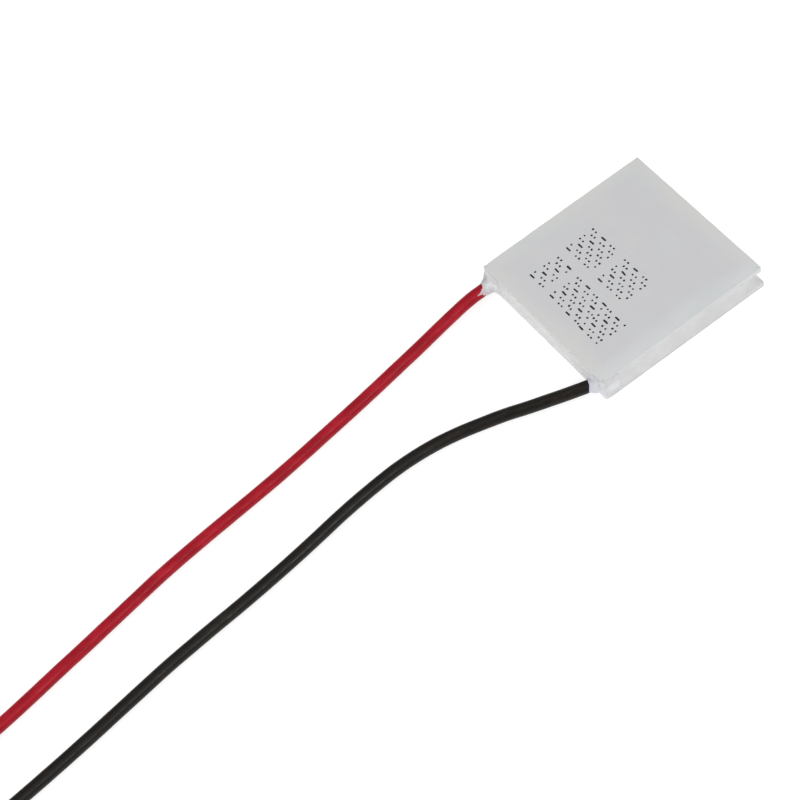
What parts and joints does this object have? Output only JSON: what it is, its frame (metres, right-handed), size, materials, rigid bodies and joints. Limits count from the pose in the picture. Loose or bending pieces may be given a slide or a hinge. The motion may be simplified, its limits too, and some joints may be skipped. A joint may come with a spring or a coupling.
{
  "type": "thermoelectric cooling module",
  "caption": "Thin square sandwich of white ceramic plates with soldered semiconductor pellets between them, a sealed rim, and a red and a black lead ending in tinned tips.",
  "frame": {"origin": "centre of the lower plate's outer face, which lies on the surface that the module stands on", "axes": "+Z out of the upper, cold plate; the leads leave towards -Y; +X runs along the lead side from the red lead's corner to the black lead's"},
  "size_m": [0.025, 0.1755, 0.0036],
  "materials": {
    "alumina": "matte",
    "copper": "satin",
    "solder": "satin",
    "bismuth_telluride_p": "satin",
    "bismuth_telluride_n": "satin",
    "white_silicone": "satin",
    "clear_silicone": "gloss",
    "tinned_copper": "satin",
    "red_pvc": "satin",
    "black_pvc": "satin",
    "marking_ink": "matte"
  },
  "bodies": {
    "root": {"hot_plate": "alumina", "cold_plate": "alumina", "hot_side_tabs": "copper", "cold_side_tabs": "copper", "red_lead_pad": "copper", "black_lead_pad": "copper", "hot_side_solder": "solder", "cold_side_solder": "solder", "p_type_pellets": "bismuth_telluride_p", "n_type_pellets": "bismuth_telluride_n", "edge_seal": "white_silicone", "red_lead_solder": "solder", "black_lead_solder": "solder", "red_lead_core": "tinned_copper", "black_lead_core": "tinned_copper", "red_lead_sealant": "clear_silicone", "black_lead_sealant": "clear_silicone", "red_lead": "red_pvc", "black_lead": "black_pvc", "red_lead_tip": "tinned_copper", "black_lead_tip": "tinned_copper"}
  },
  "joints": []
}
